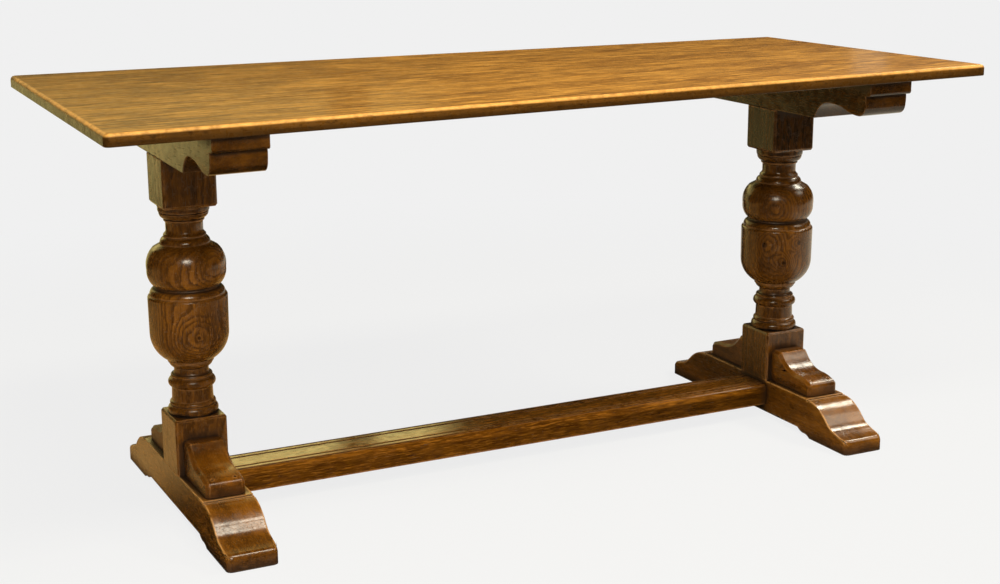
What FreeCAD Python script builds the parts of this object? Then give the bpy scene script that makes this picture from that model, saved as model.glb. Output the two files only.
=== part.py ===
import FreeCAD, Part
import math
import os
import re
import Sketcher

# Refectory table: a plank top on two turned pillars, each between a moulded bearer and a
# shaped foot with scrolled brackets, tied together by one long low stretcher.
# X runs along the top, Y across it, Z up; the origin is on the floor under the middle.

doc = FreeCAD.newDocument("RefectoryTable")

# Driving dimensions in millimetres
SIZES = [
    ("top_length", 1676, "length of the plank top"),
    ("top_width", 711, "width of the plank top"),
    ("table_height", 749, "floor to the upper face of the top"),
    ("top_thickness", 21, "thickness of the planks"),
    ("top_arris", 7.5, "rounding of the upper edge of the top"),
    ("top_under_arris", 1.5, "rounding of the lower edge of the top"),
    ("top_corner", 10, "rounding of the corners of the top in plan"),
    ("tongue_width", 26, "width of a loose tongue between two planks"),
    ("tongue_thickness", 6, "thickness of a loose tongue"),
    ("tongue_stop", 60, "distance from a tongue's end to the end of the top"),
    ("cut_overrun", 2, "reach of a corner cut past the faces that it starts from"),
    ("joint_clearance", 0.2, "room on each side of a tongue, tenon, peg or screw"),
    ("top_overhang", 213, "distance from a pillar's axis to the end of the top"),
    ("post_size", 94, "side of a pillar's square blocks"),
    ("post_chamfer", 3, "eased corners of the square blocks"),
    ("block_ease", 4, "height of the eased edges of the blocks next to the turning"),
    ("upper_block_height", 87, "height of the square block under a bearer"),
    ("lower_block_height", 102, "height of the square block on a foot"),
    ("cup_radius", 71.4, "largest radius of the cup"),
    ("bulb_radius", 70.5, "largest radius of the bulb above the cup"),
    ("upper_neck_radius", 33.3, "radius of the neck above the bulb"),
    ("lower_neck_radius", 31.1, "radius of the neck below the cup"),
    ("column_radius", 36.8, "radius of the short column above the base ring"),
    ("ring_radius", 45.4, "radius of the rings next to the square blocks"),
    ("tenon_width", 60, "width of a pillar's tenons across the table"),
    ("tenon_thickness", 30, "thickness of a pillar's tenons along the table"),
    ("wedge_depth", 44, "length of a wedge in a tenon"),
    ("wedge_thick_end", 6, "thickness of a wedge at its head"),
    ("wedge_thin_end", 2, "thickness of a wedge at its tip"),
    ("bearer_inset", 13.5, "distance from a bearer's end to the edge of the top"),
    ("bearer_width", 94, "width of a bearer"),
    ("bearer_height", 83, "height of a bearer"),
    ("fascia_height", 25, "height of the upper band at a bearer's ends"),
    ("fascia_round", 6, "rounding of the band's lower corner"),
    ("roll_set_back", 14, "distance from the end of the band back to the roll"),
    ("roll_radius", 19.5, "radius of the roll at a bearer's ends"),
    ("foot_length", 632, "length of a foot"),
    ("foot_width", 90, "width of a foot"),
    ("foot_height", 80, "height of a foot under the pillar"),
    ("foot_flat", 370, "length of a foot's flat upper face"),
    ("groove_width", 11, "width of the fillet and its two quirks beside that flat"),
    ("groove_depth", 5, "depth of those quirks"),
    ("toe_height", 29, "height of a foot's toe"),
    ("toe_round", 8, "rounding of a toe's upper edge"),
    ("pad_length", 118, "length of the bearing pad under a toe"),
    ("pad_slope", 40, "length of the curve from a pad up to the arch"),
    ("arch_height", 13.5, "clearance under the middle of a foot"),
    ("bracket_width", 70, "width of a bracket"),
    ("bracket_height", 66, "height of a bracket against the post"),
    ("bracket_length", 132, "length of a bracket along the foot"),
    ("bracket_flat", 27, "length of a bracket's flat upper end"),
    ("bracket_toe", 25, "height of a bracket's toe"),
    ("bracket_nose", 8, "rounding of the upper edge of that toe"),
    ("bracket_chamfer", 6, "chamfer along a bracket's upper edges"),
    ("pin_diameter", 4, "diameter of a pin through a bracket's toe"),
    ("pin_length", 52, "length of such a pin"),
    ("pin_spread", 40, "distance between the two pins of a bracket"),
    ("pin_inset", 13, "distance from a pin to the face of the toe"),
    ("stretcher_width", 92, "width of the stretcher"),
    ("stretcher_height", 43, "height of the stretcher"),
    ("stretcher_lift", 29.5, "floor to the underside of the stretcher"),
    ("nose_radius", 6, "rounding of the stretcher's upper edges"),
    ("fillet_width", 9, "width of the fillet beside such an edge"),
    ("quirk_width", 5, "width of the groove on each side of that fillet"),
    ("quirk_depth", 5, "depth of such a groove"),
    ("stretcher_tenon_length", 28, "length of a stretcher tenon"),
    ("stretcher_tenon_width", 60, "width of a stretcher tenon"),
    ("stretcher_tenon_thickness", 20, "thickness of a stretcher tenon"),
    ("peg_diameter", 10, "diameter of a peg through a stretcher tenon"),
    ("screw_diameter", 5, "diameter of a screw that holds the top"),
    ("screw_length", 48, "length of such a screw under its head"),
    ("screw_bite", 15, "depth of a screw in a plank"),
    ("screw_head_diameter", 10, "diameter of a screw head"),
    ("screw_head_height", 3.5, "height of a screw head"),
    ("counterbore_diameter", 16, "diameter of a screw's counterbore in a bearer"),
    ("inner_screw_spread", 160, "distance between the two inner screws of a bearer"),
    ("outer_screw_spread", 464, "distance between the two outer screws of a bearer"),
]

sheet = doc.addObject("Spreadsheet::Sheet", "Sizes")
for row, (alias, value, meaning) in enumerate(SIZES, start=1):
    sheet.set(f"A{row}", meaning)
    sheet.set(f"B{row}", str(value))
    sheet.setAlias(f"B{row}", alias)
doc.recompute()

ALIASES = {alias for alias, value, meaning in SIZES}

# Sizes worked out from the driving dimensions, as expressions
TOP_UNDERSIDE = "(table_height - top_thickness)"
BEARER_UNDERSIDE = f"({TOP_UNDERSIDE} - bearer_height)"
BOARD_WIDTH = "(top_width / 3)"
PILLAR_SPACING = "(top_length - 2 * top_overhang)"
HALF_BEARER = "(top_width / 2 - bearer_inset)"
TURNING_HEIGHT = f"({BEARER_UNDERSIDE} - foot_height - lower_block_height - upper_block_height)"
FOOT_TENON_LENGTH = "(foot_height - arch_height)"
STRETCHER_SPAN = f"({PILLAR_SPACING} - foot_width)"
STRETCHER_TENON_BASE = "(stretcher_lift + (stretcher_height - stretcher_tenon_thickness) / 2)"
MORTISE_WIDTH = "(tenon_width + 2 * joint_clearance)"
MORTISE_THICKNESS = "(tenon_thickness + 2 * joint_clearance)"
SCREW_SEAT = "(bearer_height + screw_bite - screw_length)"
PIN_RISE = "(bracket_toe + bracket_nose / 3)"

# Bow of a quarter circle: its rise over its chord
QUARTER_BOW_SHARE = (math.sqrt(2) - 1) / 2


def bound(text):
    """The expression with every alias read from the sheet."""
    return re.sub(r"[a-z_]+", lambda word: f"Sizes.{word[0]}" if word[0] in ALIASES else word[0], text)


def value_of(text):
    """The number that an expression comes to."""
    return float(sheet.evalExpression(text))


def bind(obj, **expressions):
    """Ties properties such as Length or Placement_Base_x to expressions."""
    for name, text in expressions.items():
        obj.setExpression(name.replace("_", "."), bound(text))


def minus(text):
    return f"-({text})"


def mirrored(points):
    """A half outline and its mirror image, as one closed outline about the vertical axis."""
    other = []
    for index in range(len(points) - 1, -1, -1):
        across, up, bow_share = points[index]
        bow_before = points[index - 1][2] if index else 0
        other.append((minus(across), up, bow_before))
    return points + other


def rectangle(left, bottom, right, top):
    return [(left, bottom, 0), (right, bottom, 0), (right, top, 0), (left, top, 0)]


def centred(width, bottom, top):
    return rectangle(minus(f"{width} / 2"), bottom, f"{width} / 2", top)


def new_body(label):
    body = doc.addObject("PartDesign::Body", label)
    body.Label = label
    return body


def new_sketch(body, plane_role):
    sketch = body.newObject("Sketcher::SketchObject", f"{body.Name}_outline")
    plane = next(item for item in body.Origin.OriginFeatures if item.Role == plane_role)
    sketch.AttachmentSupport = [(plane, "")]
    sketch.MapMode = "FlatFace"
    return sketch


def tie(sketch, kind, *where, text):
    """Adds one dimension to a sketch and ties it to an expression."""
    index = sketch.addConstraint(Sketcher.Constraint(kind, *where, value_of(text)))
    sketch.setExpression(f"Constraints[{index}]", bound(text))


def draw_outline(body, plane_role, points):
    """A closed outline of lines and arcs. Each point is (across, up, bow_share): the bow is the
    rise over the chord of the arc to the next point, positive to the right of the way there."""
    sketch = new_sketch(body, plane_role)
    places = [FreeCAD.Vector(value_of(across), value_of(up), 0) for across, up, bow_share in points]
    ends = []
    for index, (across, up, bow_share) in enumerate(points):
        start = places[index]
        end = places[(index + 1) % len(places)]
        chord = end - start
        if bow_share == 0:
            geometry = sketch.addGeometry(Part.LineSegment(start, end))
            ends.append((geometry, 1, 2))
            continue
        middle = (start + end) / 2 + FreeCAD.Vector(chord.y, -chord.x, 0) * bow_share
        if bow_share > 0:
            geometry = sketch.addGeometry(Part.Arc(start, middle, end))
            ends.append((geometry, 1, 2))
        else:
            geometry = sketch.addGeometry(Part.Arc(end, middle, start))
            ends.append((geometry, 2, 1))
    for index, (across, up, bow_share) in enumerate(points):
        geometry, first, last = ends[index]
        following = (index + 1) % len(points)
        next_across, next_up, next_bow_share = points[following]
        next_geometry, next_first, next_last = ends[following]
        sketch.addConstraint(Sketcher.Constraint("Coincident", geometry, last, next_geometry, next_first))
        tie(sketch, "DistanceX", -1, 1, geometry, first, text=across)
        tie(sketch, "DistanceY", -1, 1, geometry, first, text=up)
        if bow_share:
            chord = f"sqrt((({next_across}) - ({across}))^2 + (({next_up}) - ({up}))^2)"
            radius_share = (1 + 4 * bow_share ** 2) / (8 * abs(bow_share))
            tie(sketch, "Radius", geometry, text=f"{chord} * {radius_share}")
    return sketch


def draw_circles(body, plane_role, centres, diameter):
    sketch = new_sketch(body, plane_role)
    for across, up in centres:
        place = FreeCAD.Vector(value_of(across), value_of(up), 0)
        axis = FreeCAD.Vector(0, 0, 1)
        geometry = sketch.addGeometry(Part.Circle(place, axis, value_of(diameter) / 2))
        tie(sketch, "DistanceX", -1, 1, geometry, 3, text=across)
        tie(sketch, "DistanceY", -1, 1, geometry, 3, text=up)
        tie(sketch, "Diameter", geometry, text=diameter)
    return sketch


def add_feature(body, kind, sketch, length, side="One side", reverse=False):
    """A pad or pocket of a sketch; a pocket has to take something away."""
    before = body.Shape.Volume if body.Tip else 0
    feature = body.newObject(f"PartDesign::{kind}", f"{body.Name}_{kind}")
    feature.Profile = sketch
    feature.SideType = side
    feature.Reversed = reverse
    bind(feature, Length=length)
    doc.recompute()
    if kind == "Pocket" and feature.Shape.Volume >= before:
        raise RuntimeError(f"{body.Label}: a pocket cuts nothing")
    return feature


def pad_across(body, plane_role, points, length):
    """Pads an outline by the same amount to both sides of its plane."""
    return add_feature(body, "Pad", draw_outline(body, plane_role, points), length, side="Symmetric")


def cut_across(body, plane_role, points, length):
    """Cuts an outline by the same amount to both sides of its plane."""
    return add_feature(body, "Pocket", draw_outline(body, plane_role, points), length, side="Symmetric")


def drill_up(body, centres, diameter, depth):
    """Round holes from the body's XY plane upwards."""
    sketch = draw_circles(body, "XY_Plane", centres, diameter)
    return add_feature(body, "Pocket", sketch, depth, reverse=True)


def round_edges(body, radius, chosen):
    """Rounds the edges of the body's last shape whose middle passes the test."""
    base = body.Tip
    names = []
    for number, edge in enumerate(base.Shape.Edges, start=1):
        if chosen(edge.discretize(3)[1]):
            names.append(f"Edge{number}")
    fillet = body.newObject("PartDesign::Fillet", f"{body.Name}_Fillet")
    fillet.Base = (base, names)
    bind(fillet, Radius=radius)
    doc.recompute()


def place(obj, across="0", along="0", up="0", turn=0, axis=(0, 0, 1)):
    """Turns a finished sub-part about an axis and ties its place to the sheet."""
    obj.Placement = FreeCAD.Placement(FreeCAD.Vector(), FreeCAD.Rotation(FreeCAD.Vector(*axis), turn))
    bind(obj, Placement_Base_x=along, Placement_Base_y=across, Placement_Base_z=up)


def near(first, second):
    return math.isclose(first, second, abs_tol=value_of("joint_clearance"))


# The two ends of the table: name, side along X, turn that brings the inner face inwards
ENDS = [("left", "-1", 180), ("right", "1", 0)]


def end_place(side):
    return f"{side} * {PILLAR_SPACING} / 2"


# Plank top: three boards with loose tongues in stopped grooves

def make_board(label, row, outer_side):
    """A board of the top. outer_side is -1 or 1 on the edge boards, and 0 in the middle."""
    body = new_body(label)
    half_length = "top_length / 2"
    half_width = f"{BOARD_WIDTH} / 2"
    outline = rectangle(minus(half_length), minus(half_width), half_length, half_width)
    add_feature(body, "Pad", draw_outline(body, "XY_Plane", outline), "top_thickness")
    limit_along = value_of(half_length)
    limit_across = value_of(half_width) * outer_side
    thickness = value_of("top_thickness")
    if outer_side:
        round_edges(body, "top_corner", lambda at: near(at.y, limit_across) and 0 < at.z < thickness)

    def on_outer_edge(at):
        inner = not outer_side or at.y * outer_side < 0
        inside_ends = abs(at.x) < limit_along - value_of("top_corner")
        if inside_ends and inner and near(abs(at.y), value_of(half_width)):
            return False
        return True

    round_edges(body, "top_arris", lambda at: near(at.z, thickness) and on_outer_edge(at))
    round_edges(body, "top_under_arris", lambda at: near(at.z, 0) and on_outer_edge(at))
    for inner_side in (-1, 1):
        if inner_side != outer_side:
            cut_groove(body, inner_side)
    screw_rows = [f"{side} * inner_screw_spread / 2" for side in (-1, 1)]
    if outer_side:
        screw_rows = [f"{outer_side} * (outer_screw_spread / 2 - {BOARD_WIDTH})"]
    holes = [(end_place(side), across) for name, side, turn in ENDS for across in screw_rows]
    drill_up(body, holes, "screw_diameter + 2 * joint_clearance", "screw_bite + joint_clearance")
    place(body, across=f"{row} * {BOARD_WIDTH}", up=TOP_UNDERSIDE)


def cut_groove(body, side):
    """Half of a tongue's seat, in one edge of a board."""
    groove_depth = "(tongue_width / 2 + joint_clearance)"
    middle = "top_thickness / 2"
    half_height = "(tongue_thickness / 2 + joint_clearance)"
    edge = f"{side} * {BOARD_WIDTH} / 2"
    bottom = f"{side} * ({BOARD_WIDTH} / 2 - {groove_depth})"
    first, last = (bottom, edge) if side > 0 else (edge, bottom)
    outline = rectangle(first, f"{middle} - {half_height}", last, f"{middle} + {half_height}")
    cut_across(body, "YZ_Plane", outline, "top_length - 2 * (tongue_stop - joint_clearance)")


def make_tongue(label, joint):
    body = new_body(label)
    outline = centred("tongue_width", minus("tongue_thickness / 2"), "tongue_thickness / 2")
    pad_across(body, "YZ_Plane", outline, "top_length - 2 * tongue_stop")
    place(body, across=f"{joint} * {BOARD_WIDTH}", up=f"{TOP_UNDERSIDE} + top_thickness / 2")


make_board("top_board_front", -1, -1)
make_board("top_board_middle", 0, 0)
make_board("top_board_back", 1, 1)
make_tongue("top_tongue_front", -0.5)
make_tongue("top_tongue_back", 0.5)

# Bearers: a plain band over a roll, a hollow and a cusp at each end

BEARER_CUSP_SHARE = 0.512
BEARER_CROWN_SHARE = 0.667
BEARER_CROWN_RISE_SHARE = 0.4
LOBE_START_SHARE = 0.778
LOBE_START_RISE_SHARE = 0.325
LOBE_BOW_SHARE = 0.045
ROLL_FACE_BOW_SHARE = 0.05
HOLLOW_BOW_SHARES = (0.045, 0.2)


def make_bearer(label, side, turn):
    body = new_body(label)
    half = HALF_BEARER
    roll_face = f"({half} - roll_set_back)"
    band_bottom = "(bearer_height - fascia_height)"
    outline = mirrored([
        (f"{half} * {BEARER_CUSP_SHARE}", "0", -HOLLOW_BOW_SHARES[1]),
        (f"{half} * {BEARER_CROWN_SHARE}", f"bearer_height * {BEARER_CROWN_RISE_SHARE}",
         -HOLLOW_BOW_SHARES[0]),
        (f"{half} * {LOBE_START_SHARE}", f"bearer_height * {LOBE_START_RISE_SHARE}", LOBE_BOW_SHARE),
        (f"{roll_face} - roll_radius", f"{band_bottom} - 2 * roll_radius", QUARTER_BOW_SHARE),
        (roll_face, f"{band_bottom} - roll_radius", ROLL_FACE_BOW_SHARE),
        (roll_face, band_bottom, 0),
        (f"{half} - fascia_round", band_bottom, QUARTER_BOW_SHARE),
        (half, f"{band_bottom} + fascia_round", 0),
        (half, "bearer_height", 0),
    ])
    pad_across(body, "YZ_Plane", outline, "bearer_width")
    cut_across(body, "YZ_Plane", centred(MORTISE_WIDTH, "0", "bearer_height"), MORTISE_THICKNESS)
    screws = [("0", across) for across in SCREW_PLACES]
    drill_up(body, screws, "counterbore_diameter", SCREW_SEAT)
    drill_up(body, screws, "screw_diameter + 2 * joint_clearance", "bearer_height")
    place(body, along=end_place(side), up=BEARER_UNDERSIDE, turn=turn)


SCREW_PLACES = [f"{side} * {spread} / 2"
                for spread in ("inner_screw_spread", "outer_screw_spread") for side in (-1, 1)]

# Pillars: square blocks, a cup with its bulb between two necks, and a tenon at each end

# Turned outline from the lower block up: radius, height share of the turning, bow share onwards
TURNING_SHARES = [
    ("0.92 * ring_radius", 0.000, 0.26),
    ("0.92 * ring_radius", 0.040, 0),
    ("0.88 * ring_radius", 0.044, 0),
    ("0.90 * ring_radius", 0.047, 0.2),
    ("0.88 * ring_radius", 0.062, 0),
    ("1.02 * column_radius", 0.066, 0),
    ("column_radius", 0.130, 0),
    ("1.05 * column_radius", 0.134, 0.27),
    ("1.06 * column_radius", 0.174, 0),
    ("column_radius", 0.179, 0),
    ("1.02 * column_radius", 0.182, 0.15),
    ("0.98 * column_radius", 0.194, 0),
    ("1.06 * lower_neck_radius", 0.196, -0.12),
    ("lower_neck_radius", 0.208, 0),
    ("lower_neck_radius", 0.226, 0),
    ("1.07 * lower_neck_radius", 0.229, 0.12),
    ("1.27 * lower_neck_radius", 0.251, 0),
    ("0.58 * cup_radius", 0.254, 0),
    ("0.58 * cup_radius", 0.264, 0.135),
    ("0.993 * cup_radius", 0.392, 0),
    ("cup_radius", 0.562, 0.15),
    ("0.965 * cup_radius", 0.577, 0),
    ("0.945 * cup_radius", 0.579, 0.14),
    ("0.865 * cup_radius", 0.609, 0),
    ("0.815 * cup_radius", 0.612, -0.15),
    ("0.815 * bulb_radius", 0.623, 0),
    ("0.865 * bulb_radius", 0.626, 0.11),
    ("bulb_radius", 0.699, 0.12),
    ("0.83 * bulb_radius", 0.800, 0),
    ("0.67 * bulb_radius", 0.817, 0),
    ("1.35 * upper_neck_radius", 0.820, 0.14),
    ("1.19 * upper_neck_radius", 0.848, 0),
    ("1.13 * upper_neck_radius", 0.852, 0.2),
    ("1.10 * upper_neck_radius", 0.866, -0.14),
    ("upper_neck_radius", 0.890, 0),
    ("upper_neck_radius", 0.914, -0.1),
    ("1.04 * upper_neck_radius", 0.925, 0),
    ("1.09 * upper_neck_radius", 0.927, 0),
    ("1.09 * upper_neck_radius", 0.934, 0),
    ("0.77 * ring_radius", 0.937, 0),
    ("0.82 * ring_radius", 0.939, 0.16),
    ("0.97 * ring_radius", 0.966, 0),
    ("0.94 * ring_radius", 0.969, 0),
    ("ring_radius", 0.972, 0.06),
    ("ring_radius", 1.000, 0),
]

# Taper of the blocks' eased edges in degrees, inwards
BLOCK_EASE_TAPER = -35


def pad_block(body, base, height, top_eased):
    """A square block with the edges at one end eased."""
    half = "post_size / 2"
    eased = f"({half} - post_chamfer)"
    corners = [(half, eased), (eased, half), (minus(eased), half), (minus(half), eased),
               (minus(half), minus(eased)), (minus(eased), minus(half)), (eased, minus(half)),
               (half, minus(eased))]
    square = [(along, across, 0) for along, across in corners]
    start = base if top_eased else f"{base} + block_ease"
    turn_over = f"{base} + {height} - block_ease" if top_eased else start
    outline = draw_outline(body, "XY_Plane", square)
    outline.setExpression("AttachmentOffset.Base.z", bound(start))
    add_feature(body, "Pad", outline, f"{height} - block_ease")
    outline = draw_outline(body, "XY_Plane", square)
    outline.setExpression("AttachmentOffset.Base.z", bound(turn_over))
    easing = add_feature(body, "Pad", outline, "block_ease", reverse=not top_eased)
    easing.TaperAngle = BLOCK_EASE_TAPER
    doc.recompute()


def make_pillar(label, side, turn):
    body = new_body(label)
    turning_base = "lower_block_height"
    block_top = f"(lower_block_height + {TURNING_HEIGHT} + upper_block_height)"
    turned = [(radius, f"{turning_base} + {TURNING_HEIGHT} * {height_share}", bow_share)
              for radius, height_share, bow_share in TURNING_SHARES]
    turned = [("0", turning_base, 0)] + turned + [("0", f"{turning_base} + {TURNING_HEIGHT}", 0)]
    sketch = draw_outline(body, "XZ_Plane", turned)
    revolution = body.newObject("PartDesign::Revolution", f"{body.Name}_Revolution")
    revolution.Profile = sketch
    revolution.ReferenceAxis = (sketch, ["V_Axis"])
    doc.recompute()
    pad_block(body, "0", "lower_block_height", top_eased=True)
    pad_block(body, f"{block_top} - upper_block_height", "upper_block_height", top_eased=False)
    tenon_top = f"({block_top} + bearer_height)"
    pad_across(body, "YZ_Plane", centred("tenon_width", block_top, tenon_top), "tenon_thickness")
    pad_across(body, "YZ_Plane", centred("tenon_width", minus(FOOT_TENON_LENGTH), "0"), "tenon_thickness")
    for wedge_side in (-1, 1):
        for head, direction in ((tenon_top, -1), (minus(FOOT_TENON_LENGTH), 1)):
            cut_across(body, "YZ_Plane", wedge_outline(wedge_side, head, direction), "tenon_thickness")
    place(body, along=end_place(side), up="foot_height", turn=turn)


def wedge_outline(side, head, direction):
    """A tapered wedge in a tenon, from its head at the tenon's end along the given direction."""
    middle = f"({side} * tenon_width / 4)"
    tip = f"{head} + {direction} * wedge_depth"
    points = [(f"{middle} - wedge_thick_end / 2", head), (f"{middle} + wedge_thick_end / 2", head),
              (f"{middle} + wedge_thin_end / 2", tip), (f"{middle} - wedge_thin_end / 2", tip)]
    return [(across, up, 0) for across, up in points]


def make_wedges(label, side, head, direction):
    """The two wedges of one tenon."""
    wedges = []
    for wedge_side in (-1, 1):
        body = new_body(f"{label}_{len(wedges) + 1}")
        pad_across(body, "YZ_Plane", wedge_outline(wedge_side, "0", direction), "tenon_thickness")
        place(body, along=end_place(side), up=head)
        wedges.append(body)
    group_pieces(label, wedges)


def group_pieces(label, pieces):
    group = doc.addObject("Part::Compound", label)
    group.Label = label
    group.Links = pieces


# Feet: a flat bed under the post, a stepped ogee down to each toe, and an arch between pads

TOE_CORNER_SHARE = 1.1
SWELL_DROP_SHARE = 0.35
FILLET_DROP_SHARE = 0.3
QUIRK_SHARES = (0.2, 0.84)
FILLET_SHARES = (0.34, 0.7)
SWELL_END_SHARE = 0.46
SWELL_FALL_SHARE = 0.47
SWELL_BOW_SHARE = 0.1
HOLLOW_BOW_SHARE = 0.07
PAD_CURVE_SHARE = 0.45
PAD_BOW_SHARE = 0.1


def cut_toe_corner(body, toe, flank):
    """Rounds one upright corner of a toe."""
    radius = f"(toe_round * {TOE_CORNER_SHARE})"
    edge = f"{toe} * foot_length / 2"
    face = f"{flank} * foot_width / 2"
    beyond_edge = f"{toe} * (foot_length / 2 + cut_overrun)"
    beyond_face = f"{flank} * (foot_width / 2 + cut_overrun)"
    before_edge = f"{toe} * (foot_length / 2 - {radius})"
    before_face = f"{flank} * (foot_width / 2 - {radius})"
    outline = [
        (face, before_edge, toe * flank * QUARTER_BOW_SHARE),
        (before_face, edge, 0),
        (before_face, beyond_edge, 0),
        (beyond_face, beyond_edge, 0),
        (beyond_face, before_edge, 0),
    ]
    add_feature(body, "Pocket", draw_outline(body, "XY_Plane", outline), "toe_height", reverse=True)


def make_foot(label, side, turn):
    body = new_body(label)
    half = "foot_length / 2"
    flat = "foot_flat / 2"
    swell_start = f"({flat} + groove_width)"
    swell_top = f"(foot_height - groove_depth * {SWELL_DROP_SHARE})"
    slope = f"({half} - toe_round - {swell_start})"
    fall = f"({swell_top} - toe_height)"
    quirk_floor = "(foot_height - groove_depth)"
    fillet_top = f"(foot_height - groove_depth * {FILLET_DROP_SHARE})"
    pad_end = f"({half} - pad_length)"
    outline = mirrored([
        (f"{pad_end} - pad_slope", "arch_height", PAD_BOW_SHARE),
        (f"{pad_end} - pad_slope * {PAD_CURVE_SHARE}", f"arch_height * {PAD_CURVE_SHARE}",
         -PAD_BOW_SHARE),
        (pad_end, "0", 0),
        (half, "0", 0),
        (half, "toe_height - toe_round", QUARTER_BOW_SHARE),
        (f"{half} - toe_round", "toe_height", -HOLLOW_BOW_SHARE),
        (f"{swell_start} + {slope} * {SWELL_END_SHARE}",
         f"toe_height + {fall} * {SWELL_FALL_SHARE}", SWELL_BOW_SHARE),
        (swell_start, swell_top, 0),
        (f"{flat} + groove_width * {QUIRK_SHARES[1]}", quirk_floor, 0),
        (f"{flat} + groove_width * {FILLET_SHARES[1]}", fillet_top, 0),
        (f"{flat} + groove_width * {FILLET_SHARES[0]}", fillet_top, 0),
        (f"{flat} + groove_width * {QUIRK_SHARES[0]}", quirk_floor, 0),
        (flat, "foot_height", 0),
    ])
    pad_across(body, "YZ_Plane", outline, "foot_width")
    for toe in (-1, 1):
        for flank in (-1, 1):
            cut_toe_corner(body, toe, flank)
    cut_across(body, "YZ_Plane", centred(MORTISE_WIDTH, "arch_height", "foot_height"), MORTISE_THICKNESS)
    inner_face = minus("foot_width / 2")
    mortise_end = f"{inner_face} + stretcher_tenon_length + joint_clearance"
    mortise = rectangle(inner_face, f"{STRETCHER_TENON_BASE} - joint_clearance", mortise_end,
                        f"{STRETCHER_TENON_BASE} + stretcher_tenon_thickness + joint_clearance")
    cut_across(body, "XZ_Plane", mortise, "stretcher_tenon_width + 2 * joint_clearance")
    peg_centre = [(f"{inner_face} + stretcher_tenon_length / 2", "0")]
    drill_up(body, peg_centre, "peg_diameter + 2 * joint_clearance", PEG_TOP)
    for front in (-1, 1):
        holes = [(across, f"{front} * {PIN_ROW}") for across in PIN_COLUMNS]
        sketch = draw_circles(body, "XY_Plane", holes, "pin_diameter + 2 * joint_clearance")
        sketch.setExpression("AttachmentOffset.Base.z", bound("foot_height"))
        add_feature(body, "Pocket", sketch, f"pin_length - {PIN_RISE} + joint_clearance")
    place(body, along=end_place(side), turn=turn)


PEG_TOP = f"({STRETCHER_TENON_BASE} + stretcher_tenon_thickness)"
PIN_ROW = "(post_size / 2 + bracket_length - pin_inset)"
PIN_COLUMNS = [f"{side} * pin_spread / 2" for side in (-1, 1)]

# Brackets: scrolled blocks on the feet, against the front and back of the posts

BRACKET_WAIST_SHARE = 0.645
BRACKET_WAIST_RISE_SHARE = 0.52
BRACKET_BOW_SHARES = (0.05, 0.12)
NOSE_RISE_SHARE = 0.35
NOSE_BOW_SHARE = 0.17


def chamfer_bracket(body):
    """Chamfers the upper edges of a bracket's two sides, from the post to the toe."""
    base = body.Tip
    half_width = value_of("bracket_width / 2")
    toe = value_of("bracket_toe - bracket_nose")
    names = []
    for number, edge in enumerate(base.Shape.Edges, start=1):
        at = edge.discretize(3)[1]
        if near(abs(at.x), half_width) and at.z > toe and at.y > 0:
            names.append(f"Edge{number}")
    chamfer = body.newObject("PartDesign::Chamfer", f"{body.Name}_Chamfer")
    chamfer.Base = (base, names)
    bind(chamfer, Size="bracket_chamfer")
    doc.recompute()


def make_bracket(label, side, turn):
    body = new_body(label)
    waist = f"bracket_length * {BRACKET_WAIST_SHARE}"
    outline = [
        ("0", "0", 0),
        ("bracket_length", "0", 0),
        ("bracket_length", "bracket_toe - bracket_nose", NOSE_BOW_SHARE),
        ("bracket_length - bracket_nose", f"bracket_toe + bracket_nose * {NOSE_RISE_SHARE}",
         BRACKET_BOW_SHARES[0]),
        (waist, f"bracket_height * {BRACKET_WAIST_RISE_SHARE}", -BRACKET_BOW_SHARES[1]),
        ("bracket_flat", "bracket_height", 0),
        ("0", "bracket_height", 0),
    ]
    pad_across(body, "YZ_Plane", outline, "bracket_width")
    chamfer_bracket(body)
    holes = [(across, "bracket_length - pin_inset") for across in PIN_COLUMNS]
    drill_up(body, holes, "pin_diameter + 2 * joint_clearance", "bracket_height")
    front = -1 if turn else 1
    place(body, along=end_place(side), across=f"{front} * post_size / 2", up="foot_height", turn=turn)


# Stretcher: a flat rail with a fillet between two quirks along both upper edges, and a tenon at each end

def make_stretcher(label):
    body = new_body(label)
    half = "stretcher_width / 2"
    quirk_floor = "stretcher_height - quirk_depth"
    outer_quirk = f"({half} - nose_radius)"
    inner_quirk = f"({outer_quirk} - quirk_width - fillet_width)"
    outline = mirrored([
        (half, "0", 0),
        (half, "stretcher_height - nose_radius", QUARTER_BOW_SHARE),
        (outer_quirk, "stretcher_height", 0),
        (f"{outer_quirk} - quirk_width / 2", quirk_floor, 0),
        (f"{outer_quirk} - quirk_width", "stretcher_height", 0),
        (inner_quirk, "stretcher_height", 0),
        (f"{inner_quirk} - quirk_width / 2", quirk_floor, 0),
        (f"{inner_quirk} - quirk_width", "stretcher_height", 0),
    ])
    pad_across(body, "YZ_Plane", outline, STRETCHER_SPAN)
    tenon = centred("stretcher_tenon_width", f"{STRETCHER_TENON_BASE} - stretcher_lift",
                    f"{STRETCHER_TENON_BASE} + stretcher_tenon_thickness - stretcher_lift")
    pad_across(body, "YZ_Plane", tenon, f"{STRETCHER_SPAN} + 2 * stretcher_tenon_length")
    holes = [(f"{side} * {PEG_PLACE}", "0") for name, side, turn in ENDS]
    drill_up(body, holes, "peg_diameter + 2 * joint_clearance", "stretcher_height")
    place(body, up="stretcher_lift")


PEG_PLACE = f"({STRETCHER_SPAN} / 2 + stretcher_tenon_length / 2)"


# Fastenings: pegs through the stretcher's tenons, pins in the brackets, screws under the top

def make_peg(label, side):
    peg = doc.addObject("Part::Prism", label)
    peg.Label = label
    peg.Polygon = 8
    bind(peg, Circumradius="peg_diameter / 2", Height=f"{PEG_TOP} - arch_height")
    place(peg, along=f"{side} * {PEG_PLACE}", up="arch_height")


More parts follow.
